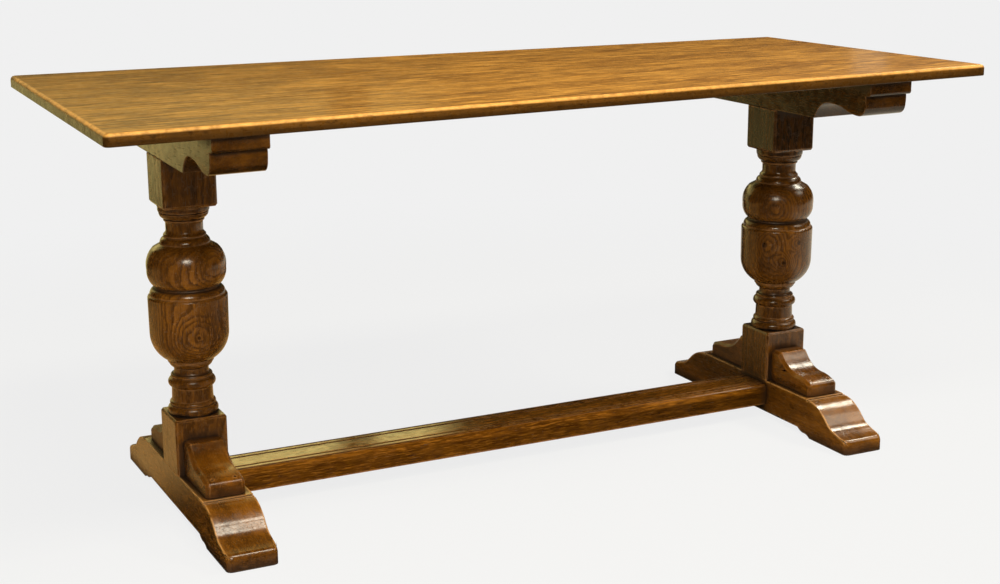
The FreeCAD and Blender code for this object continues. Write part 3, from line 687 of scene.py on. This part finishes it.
def dress_bearer(end, axis_x, darkening):
    side_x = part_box(f"bearer_{end}")[0].x
    bearer = worn_piece(f"bearer_{end}", ACROSS, BEARER_WEAR, warp=out_of_wind)
    nails = tuple(((side_x - axis_x, along, up), NAIL_SIZE, NAIL_SIZE) for along, up in NAIL_PLACES)
    material = oak(f"oak_bearer_{end}", ACROSS, FRAME_TONES, shift=(axis_x, 0, 0), knots=nails, deep=darkening,
                   **BEARER_LOOK)
    dress(bearer, material)


# Feet

# Worn toes: height and rounding, reach of the wear back from the end and its least growth, the flat
# at the end, the slope of the top behind it, and where the mesh is cut
TOE_TOP = 0.029
TOE_ROUND = 0.011
TOE_REACH = 0.022
TOE_LEAST = 0.05
TOE_FLAT = 0.008
TOE_SLOPE = 0.127
TOE_CUT_SHARES = (0.15, 0.4, 0.7, 1.0, 1.4, 1.8)
# Wear of a foot's ogee: place along the foot, half width and lift of each change
OGEE_WEAR = ((0.2475, 0.0125, 0.0013), (0.2645, 0.018, -0.0015))
# Places of the grain along each foot and up
FOOT_SHIFTS = {"left": 0.0, "right": 0.5}
FOOT_SHIFT_UP = 0.04
FOOT_LOOK = dict(rough=0.2, wear_reach=0.007, wear_tone=FOOT_WEAR, wear_share=0.75, dash=0.55,
                 dash_scales=FINE_DASHES)


def swell(distance, half_width):
    """One at no distance, falling smoothly to zero at the half width."""
    share = min(abs(distance) / half_width, 1)
    return math.cos(share * math.pi / 2) ** 2


def worn_ogee(place):
    """A place on a foot's upper side, with the middle of the ogee worn nearly straight."""
    place = place.copy()
    if place.z > TOE_TOP:
        for centre, width, lift in OGEE_WEAR:
            place.z += lift * swell(abs(place.y) - centre, width)
    return place


def worn_foot(low, high):
    """A warp that wears a foot's toes round and the middle of its ogee nearly straight."""
    half_length = high.y
    half_width = (high.x - low.x) / 2
    middle_x = (high.x + low.x) / 2

    def warp(place):
        place = worn_ogee(place)
        end = half_length - abs(place.y)
        growth = swell(end, TOE_REACH)
        if end > TOE_REACH or growth < TOE_LEAST:
            return place
        radius = TOE_ROUND * growth
        side = half_width - abs(place.x - middle_x)
        top = TOE_TOP + TOE_SLOPE * max(end - TOE_FLAT, 0)
        gaps = Vector((max(TOE_ROUND - end, 0) / TOE_ROUND, max(radius - side, 0) / radius,
                       max(radius - (top - place.z), 0) / radius))
        if gaps.length <= 1:
            return place
        gaps.normalize()
        if end < TOE_ROUND:
            place.y = math.copysign(half_length - TOE_ROUND * (1 - gaps.x), place.y)
        if side < radius:
            place.x = middle_x + math.copysign(half_width - radius * (1 - gaps.y), place.x - middle_x)
        if top - place.z < radius:
            place.z = top - radius * (1 - gaps.z)
        return place
    return warp


def toe_cuts(low, high):
    """Where a foot's mesh is cut, so that its toes can be worn round."""
    depths = [TOE_ROUND * share for share in TOE_CUT_SHARES]
    ends = [side * (high.y - depth) for depth in depths for side in (-1, 1)]
    flanks = [low.x + depth for depth in depths] + [high.x - depth for depth in depths]
    return (ACROSS, ends), (ALONG, flanks), (UP, [TOE_TOP - depth for depth in depths])


def dress_foot(end, axis_x):
    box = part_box(f"foot_{end}")
    foot = worn_piece(f"foot_{end}", ACROSS, FOOT_EDGE_WEAR, warp=worn_foot(*box), cuts=toe_cuts(*box))
    shift = (axis_x, FOOT_SHIFTS[end], FOOT_SHIFT_UP)
    dress(foot, oak(f"oak_foot_{end}", ACROSS, FRAME_TONES, shift=shift, **FOOT_LOOK))


# Pillars

# Painted light on each pillar against the frame's tone: the left one lighter, the right one darker, as the
# light falls off to the right
PILLAR_LIGHT_SHARES = {"left": 1.12, "right": 0.8}
# Knots of the two pillars: centre from the pillar's axis, spread of the bent rings, size of the core
PILLAR_KNOTS = {
    "left": (((-0.003, -0.071, 0.334), 0.055, 0.007), ((0.03, -0.05, 0.455), 0.05, 0.004)),
    "right": (((-0.058, -0.042, 0.37), 0.055, 0.01), ((-0.027, -0.066, 0.334), 0.03, 0.008),
              ((0.004, -0.072, 0.374), 0.03, 0.008), ((-0.038, -0.045, 0.445), 0.05, 0.004)),
}
# Heart of each pillar's tree, behind the face that shows the oval figure
PILLAR_PITHS = {"left": (-0.06, 0.2), "right": (0.14, 0.19)}
# Each pillar was made by eye: girths of its turned length and upper block against the solid's
PILLAR_GIRTHS = {"left": 0.975, "right": 1.02}
BLOCK_GIRTHS = {"left": 1.015, "right": 1.035}
TURNED_HEIGHTS = (0.1825, 0.5575)
BLOCK_TOP = 0.6455
PILLAR_LOOK = dict(ring=0.008, rough=0.22, soft=0.0008, wear_reach=0.006, figure=0.8, uneven=0.25,
                   **FRAME_LOOK)


def made_by_eye(axis_x, turned_girth, block_girth):
    """A warp that changes the girth of a pillar's turned length and of the block above it."""
    def warp(place):
        if not TURNED_HEIGHTS[0] < place.z < BLOCK_TOP:
            return place
        girth = turned_girth if place.z < TURNED_HEIGHTS[1] else block_girth
        return Vector((axis_x + girth * (place.x - axis_x), girth * place.y, place.z))
    return warp


def dress_pillar(end, axis_x, darkening):
    eye = made_by_eye(axis_x, PILLAR_GIRTHS[end], BLOCK_GIRTHS[end])
    pillar = worn_piece(f"pillar_{end}", UP, PILLAR_WEAR, warp=eye)
    # Painted light: the left pillar lighter, the right one darker
    tones = tuple(shaded(tone, PILLAR_LIGHT_SHARES[end]) for tone in FRAME_TONES)
    material = oak(f"oak_pillar_{end}", UP, tones, shift=(axis_x, 0, 0), pith=PILLAR_PITHS[end],
                   knots=PILLAR_KNOTS[end], deep=darkening, **PILLAR_LOOK)
    dress(pillar, material)


# Brackets

# The brackets at the back have lost more of their polish
BRACKET_ROUGH = {"front": 0.22, "back": 0.45}
BRACKET_REACH = 0.007
# Places of the grain along each end's brackets and up
BRACKET_SHIFTS = {"left": 0.0, "right": 0.9}
BRACKET_SHIFT_UP = 0.1


def dress_bracket(end, side, axis_x):
    bracket = worn_piece(f"bracket_{end}_{side}", ACROSS, BRACKET_WEAR)
    shift = (axis_x, BRACKET_SHIFTS[end], BRACKET_SHIFT_UP)
    material = oak(f"oak_bracket_{end}_{side}", ACROSS, BRACKET_TONES, shift=shift,
                   rough=BRACKET_ROUGH[side], wear_reach=BRACKET_REACH, **FRAME_LOOK)
    dress(bracket, material)


def dress_end(end):
    """One end of the frame, from the bearer down to the brackets."""
    low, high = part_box(f"pillar_{end}")
    axis_x = (low.x + high.x) / 2
    # Painted shade under the top
    darkening = (*TOP_SHADE_HEIGHTS, TOP_SHADE[end])
    dress_bearer(end, axis_x, darkening)
    dress_foot(end, axis_x)
    dress_pillar(end, axis_x, darkening)
    for side in ("front", "back"):
        dress_bracket(end, side, axis_x)


# Stretcher

# Depths under its upper face where it gets darker, and the share of the tone left
STRETCHER_DEPTHS = (0.01, 0.018)
STRETCHER_SHARE = 0.68
# Towards the right foot it gets darker still: places along X, and the share of the tone left
STRETCHER_FAR = (-0.15, 0.45, 0.5)
# Rounding of its upper edges by feet that rested there, and where its mesh is cut for it
NOSE_ROUND = 0.008
NOSE_CUT_SHARES = (0.1, 0.3, 0.6, 1.0)
STRETCHER_LOOK = dict(rough=0.11, soft=0.0008, wear_reach=0.008, wear_tone=WARM_WEAR, wear_share=0.5,
                      dash=0.6, dash_scales=(38, 560), dash_edges=CRISP_EDGES, cloud_share=0.4,
                      uneven=0.15, far=STRETCHER_FAR)


def worn_nose(low, high):
    """A warp that wears the stretcher's two long upper edges round."""
    middle_y = (high.y + low.y) / 2
    half_width = (high.y - low.y) / 2

    def warp(place):
        flank = half_width - abs(place.y - middle_y)
        depth = high.z - place.z
        gaps = Vector((max(NOSE_ROUND - flank, 0), max(NOSE_ROUND - depth, 0))) / NOSE_ROUND
        if gaps.x == 0 or gaps.y == 0 or gaps.length <= 1:
            return place
        gaps.normalize()
        out = half_width - NOSE_ROUND * (1 - gaps.x)
        return Vector((place.x, middle_y + math.copysign(out, place.y - middle_y),
                       high.z - NOSE_ROUND * (1 - gaps.y)))
    return warp


def nose_cuts(low, high):
    """Where the stretcher's mesh is cut, so that its edges can be worn round."""
    depths = [NOSE_ROUND * share for share in NOSE_CUT_SHARES]
    flanks = [low.y + depth for depth in depths] + [high.y - depth for depth in depths]
    return (ACROSS, flanks), (UP, [high.z - depth for depth in depths])


def dress_stretcher():
    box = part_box("stretcher")
    stretcher = worn_piece("stretcher", ALONG, STRETCHER_WEAR, warp=worn_nose(*box), cuts=nose_cuts(*box))
    darkening = (*(box[1].z - depth for depth in STRETCHER_DEPTHS), STRETCHER_SHARE)
    dress(stretcher, oak("oak_stretcher", ALONG, GOLD_TONES, deep=darkening, **STRETCHER_LOOK))


# Hidden joinery and fastenings keep their solids

INNER_PIECES = ("top_tongue", "bearer_wedges", "foot_wedges", "stretcher_peg")
IRON_PIECES = ("bracket_pins", "top_screws")
# Share of dirt and painted shade in the corners of the hidden oak
INNER_DIRT_AND_SHADE = 0.4


def dress_joinery():
    inner_oak = oak("oak_inner", UP, INNER_TONES, dirt=INNER_DIRT_AND_SHADE)
    iron = steel("old_iron")
    for name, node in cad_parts.items():
        if name.startswith(INNER_PIECES):
            paint(node, inner_oak)
        elif name.startswith(IRON_PIECES):
            paint(node, iron)


# Floor and world

BACKGROUND = colour(240, 240, 240)
FLOOR_HALF = 40.0
# Share of the floor's tone that takes the table's shadow, and where from the middle that fades out
SHADOW_SHARE = 0.06
SHADOW_REACH = (1.2, 2.6)
DAYLIGHT = (1.0, 0.96, 0.84, 1.0)
DAYLIGHT_STRENGTH = 0.3


def seen_rays(tree):
    """One for rays that reach the background straight, by gloss or through glass, else zero."""
    path = tree.node("ShaderNodeLightPath")
    seen = tree.maths("MAXIMUM", path.outputs["Is Camera Ray"], path.outputs["Is Glossy Ray"])
    return tree.maths("MAXIMUM", seen, path.outputs["Is Transmission Ray"])


def make_floor():
    bm = bmesh.new()
    bmesh.ops.create_grid(bm, x_segments=1, y_segments=1, size=FLOOR_HALF)
    floor = new_object("floor", bm)
    material, tree = new_material("pale_floor")
    matt = tree.node("ShaderNodeBsdfDiffuse", Color=BACKGROUND)
    glow = tree.node("ShaderNodeEmission", Color=BACKGROUND, Strength=1.0)
    reach = tree.vector("LENGTH", tree.place())
    glow_share = tree.ramp(reach, *SHADOW_REACH, 1 - SHADOW_SHARE, 1.0)
    mixed = tree.blend(tree.product(seen_rays(tree), glow_share), matt, glow)
    tree.node("ShaderNodeOutputMaterial", Surface=mixed)
    floor.data.materials.append(material)


def make_world():
    world = bpy.data.worlds.new("studio")
    bpy.context.scene.world = world
    world.use_nodes = True
    tree = Tree(world)
    light = tree.node("ShaderNodeBackground", Color=DAYLIGHT, Strength=DAYLIGHT_STRENGTH)
    seen = tree.node("ShaderNodeBackground", Color=BACKGROUND, Strength=1.0)
    tree.node("ShaderNodeOutputWorld", Surface=tree.blend(seen_rays(tree), light, seen))


# Cloth round the room, which only reflections see

WALL_RADIUS = 5.0
WALL_HEIGHT = 5.0
WALL_SEGMENTS = 64
WALL_LIFT = 0.002
# Heights where the ground ends and the wall starts
GROUND_END = (2 * WALL_LIFT, 4 * WALL_LIFT)
DARK_CLOTH = colour(36, 26, 10)
WARM_CANVAS = colour(236, 214, 134)
WARM_BOARDS = colour(205, 158, 92)
PALE_PAPER = colour(225, 212, 186)
# Bearings on the wall, in degrees to the right of straight back, where the canvas starts and is full
CANVAS_LEFT = (-28, -25.5)
CANVAS_RIGHT = (24.5, 21.0)
# A dark gap in the canvas: the bearing of its middle, and how far from there the canvas starts and is full
GAP_MIDDLE = 17.9
GAP_SIDES = (0.7, 1.4)
# The canvas at the right hangs higher: bearings and heights where it starts and is full
HIGH_CANVAS = (-8, 0)
HIGH_FOOT = (1.44, 1.5)
# Heights where the canvas gets brighter and where that ends, and both strengths
BRIGHT_HEIGHTS = (1.4, 1.8)
BRIGHT_END = (2.7, 2.2)
BRIGHT_STRENGTH = 3.5
CANVAS_STRENGTH = 1.3
# A pale panel low on the wall at the right: bearings and heights where it starts and is full
PANEL_LEFT = (44.5, 45.5)
PANEL_RIGHT = (47.5, 46.5)
PANEL_BASE = (0.7, 1.0)
PANEL_TOP = (1.8, 1.6)
PANEL_STRENGTH = 2.4
# Where the warm boards of the floor, the foot of the canvas and the pale paper start and are full
BOARDS_BACK = (-0.05, 0.3)
BOARDS_LEFT = (0.6, 0.0)
CANVAS_FOOT = (0.9, 1.8)
PAPER_RIGHT = (0.75, 0.95)
PAPER_FRONT = (-1.6, -1.2)


def canvas_tone(tree, bearing, up):
    """Warm canvas behind the table, dark cloth elsewhere."""
    from_gap = tree.maths("ABSOLUTE", tree.maths("SUBTRACT", bearing, GAP_MIDDLE))
    hung = tree.maths("MAXIMUM", tree.ramp(bearing, *HIGH_CANVAS, 1.0, 0.0), tree.ramp(up, *HIGH_FOOT))
    canvas = tree.product(tree.ramp(bearing, *CANVAS_LEFT), tree.ramp(bearing, *CANVAS_RIGHT),
                          tree.ramp(from_gap, *GAP_SIDES), hung)
    return tree.mix(canvas, DARK_CLOTH, WARM_CANVAS)


def ground_tone(tree, along, across, wall):
    """Warm boards and pale paper on a dark ground, up to the foot of the wall."""
    boards = tree.product(tree.ramp(across, *BOARDS_BACK), tree.ramp(along, *BOARDS_LEFT))
    ground = tree.mix(boards, DARK_CLOTH, WARM_BOARDS)
    ground = tree.mix(tree.ramp(across, *CANVAS_FOOT), ground, wall)
    paper = tree.product(tree.ramp(along, *PAPER_RIGHT), tree.ramp(across, *PAPER_FRONT))
    return tree.mix(paper, ground, PALE_PAPER)


def studio_cloth():
    material, tree = new_material("studio_cloth")
    along, across, up = tree.split(tree.place())
    bearing = tree.maths("DEGREES", tree.maths("ARCTAN2", along, across))
    wall = canvas_tone(tree, bearing, up)
    tone = tree.mix(tree.ramp(up, *GROUND_END), ground_tone(tree, along, across, wall), wall)
    panel = tree.product(tree.ramp(bearing, *PANEL_LEFT), tree.ramp(bearing, *PANEL_RIGHT),
                         tree.ramp(up, *PANEL_BASE), tree.ramp(up, *PANEL_TOP))
    tone = tree.mix(panel, tone, PALE_PAPER)
    bright = tree.product(tree.ramp(up, *BRIGHT_HEIGHTS), tree.ramp(up, *BRIGHT_END))
    strength = tree.ramp(bright, 0.0, 1.0, CANVAS_STRENGTH, BRIGHT_STRENGTH, smooth=False)
    strength = tree.maths("MAXIMUM", strength, tree.product(panel, PANEL_STRENGTH))
    glow = tree.node("ShaderNodeEmission", Color=tone, Strength=strength)
    tree.node("ShaderNodeOutputMaterial", Surface=glow.outputs[0])
    return material


def make_studio_walls():
    bm = bmesh.new()
    bmesh.ops.create_cone(bm, segments=WALL_SEGMENTS, cap_ends=True, radius1=WALL_RADIUS,
                          radius2=WALL_RADIUS, depth=WALL_HEIGHT)
    bmesh.ops.translate(bm, verts=bm.verts, vec=(0, 0, WALL_HEIGHT / 2 + WALL_LIFT))
    walls = new_object("studio_walls", bm)
    walls.data.materials.append(studio_cloth())
    walls.visible_camera = False
    walls.visible_diffuse = False
    walls.visible_transmission = False
    walls.visible_shadow = False


# Lights and camera

LIGHT_TONE = (1.0, 0.95, 0.78)
# Softboxes: place, target, width and height, power, whether matt surfaces get its light, and whether
# glossy ones mirror it
SOFTBOXES = {
    "softbox_front": ((-1.1, -2.0, 1.75), (-0.5, 0, 0.4), (0.7, 0.5), 28, True, True),
    "softbox_above": ((-0.35, -1.25, 2.65), (-0.3, 0, 0.3), (1.6, 0.5), 70, True, False),
    "softbox_right": ((2.1, -0.95, 2.25), (0.6, 0, 0.3), (0.8, 0.6), 55, True, False),
    "gloss_left": ((0.2, -0.95, 2.65), (0.2, -0.95, 0), (1.2, 0.6), 46, False, True),
    "gloss_right": ((2.39, 0.56, 2.35), (0.62, -0.25, 0.06), (0.6, 0.5), 34, False, True),
    "sheen_right": ((2.1, -0.9, 2.25), (0.62, -0.25, 0.06), (0.8, 1.4), 22, False, True),
}
# The photograph's camera, from a fit of the table's corners and mouldings: azimuth, elevation and roll
# in degrees, place, and focal length as a share of the picture's width
CAMERA_ANGLES = (-26.303, 14.224, -0.244)
CAMERA_PLACE = (-1.4183, -2.8407, 1.1325)
FOCAL_SHARE = 1.7055
SENSOR_WIDTH = 36.0
CLIP_END = 60


def add_softbox(name, place, target, size, power, lit, mirrored):
    light = bpy.data.lights.new(name, "AREA")
    light.shape = "RECTANGLE"
    light.size, light.size_y = size
    light.energy = power
    light.color = LIGHT_TONE
    obj = bpy.data.objects.new(name, light)
    bpy.context.scene.collection.objects.link(obj)
    obj.location = place
    obj.rotation_euler = (Vector(target) - Vector(place)).to_track_quat("-Z", "Y").to_euler()
    obj.visible_diffuse = lit
    obj.visible_glossy = mirrored


def camera_turn():
    """The camera's rotation: its right, its up and its back as columns."""
    azimuth, elevation, roll = (math.radians(angle) for angle in CAMERA_ANGLES)
    level = math.cos(elevation)
    forward = Vector((-math.sin(azimuth) * level, math.cos(azimuth) * level, -math.sin(elevation)))
    right = forward.cross(Vector((0, 0, 1))).normalized()
    up = right.cross(forward)
    rolled_right = math.cos(roll) * right + math.sin(roll) * up
    rolled_up = -math.sin(roll) * right + math.cos(roll) * up
    return Matrix((rolled_right, rolled_up, -forward)).transposed().to_4x4()


def make_camera():
    camera = bpy.data.cameras.new("camera")
    camera.sensor_fit = "HORIZONTAL"
    camera.sensor_width = SENSOR_WIDTH
    camera.lens = SENSOR_WIDTH * FOCAL_SHARE
    camera.clip_end = CLIP_END
    obj = bpy.data.objects.new("camera", camera)
    bpy.context.scene.collection.objects.link(obj)
    obj.matrix_world = Matrix.Translation(CAMERA_PLACE) @ camera_turn()
    bpy.context.scene.camera = obj


dress_top()
for end in ENDS:
    dress_end(end)
dress_stretcher()
dress_joinery()
make_floor()
make_world()
make_studio_walls()
for name, settings in SOFTBOXES.items():
    add_softbox(name, *settings)
make_camera()
bpy.context.scene.view_settings.view_transform = "Standard"
